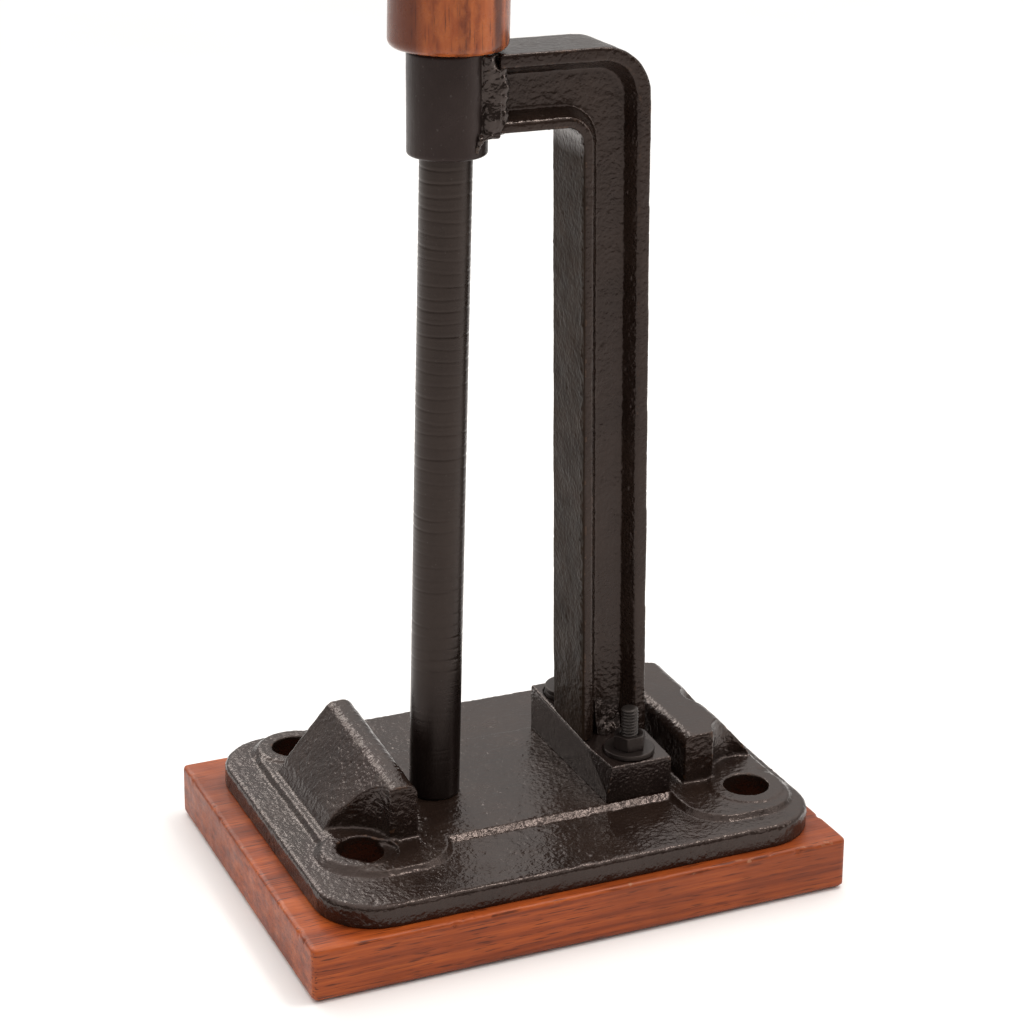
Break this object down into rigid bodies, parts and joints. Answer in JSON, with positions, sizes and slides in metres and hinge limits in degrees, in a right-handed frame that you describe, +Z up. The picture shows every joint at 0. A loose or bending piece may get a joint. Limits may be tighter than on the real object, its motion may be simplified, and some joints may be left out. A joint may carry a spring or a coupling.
{
  "type": "nutcracker",
  "caption": "Drop-ram table nutcracker: cast rail chair on a wooden board, cranked I-section arm with tube guide, and a round ram lifted and dropped by a wooden handle.",
  "frame": {"origin": "centre of the board's underside, on the surface it stands on", "axes": "+Z up along the ram, +X along the board's long edge from the ram towards the arm, +Y to the back"},
  "size_m": [0.32, 0.2354, 0.6674],
  "materials": {
    "board_wood": "satin mahogany stain, grain along the long edge",
    "chair_iron": "rough sand-cast iron under satin black enamel",
    "foot_iron": "satin black enamel on sawn steel bar",
    "weld_black": "lumpy weld bead under black enamel",
    "arm_iron": "rough sand-cast iron under satin black enamel",
    "sleeve_black": "satin black enamel on steel tube",
    "rod_black": "satin black steel with shallow turned rings",
    "handle_wood": "oiled rosewood, streaky grain along the axis, polished",
    "plug_wood": "oiled rosewood plug",
    "zinc_steel": "dull zinc plate",
    "stud_steel": "thin black enamel over rolled thread"
  },
  "bodies": {
    "stand": {"base_board": "board_wood", "base_plate": "chair_iron", "foot_block": "foot_iron", "foot_weld": "weld_black", "arm": "arm_iron", "sleeve_weld": "weld_black", "guide_sleeve": "sleeve_black", "foot_bolts": "stud_steel", "foot_bolt_washers": "zinc_steel", "foot_flat_washers": "foot_iron", "foot_nuts": "foot_iron"},
    "ram": {"ram_rod": "rod_black", "handle": "handle_wood", "handle_plug": "plug_wood", "handle_washer": "zinc_steel", "handle_bolt": "zinc_steel"}
  },
  "joints": [
    {"name": "ram_slide", "type": "slide", "parent": "stand", "child": "ram", "axis": [0.021, 0, 0.9998], "range_m": [0, 0.36]}
  ]
}
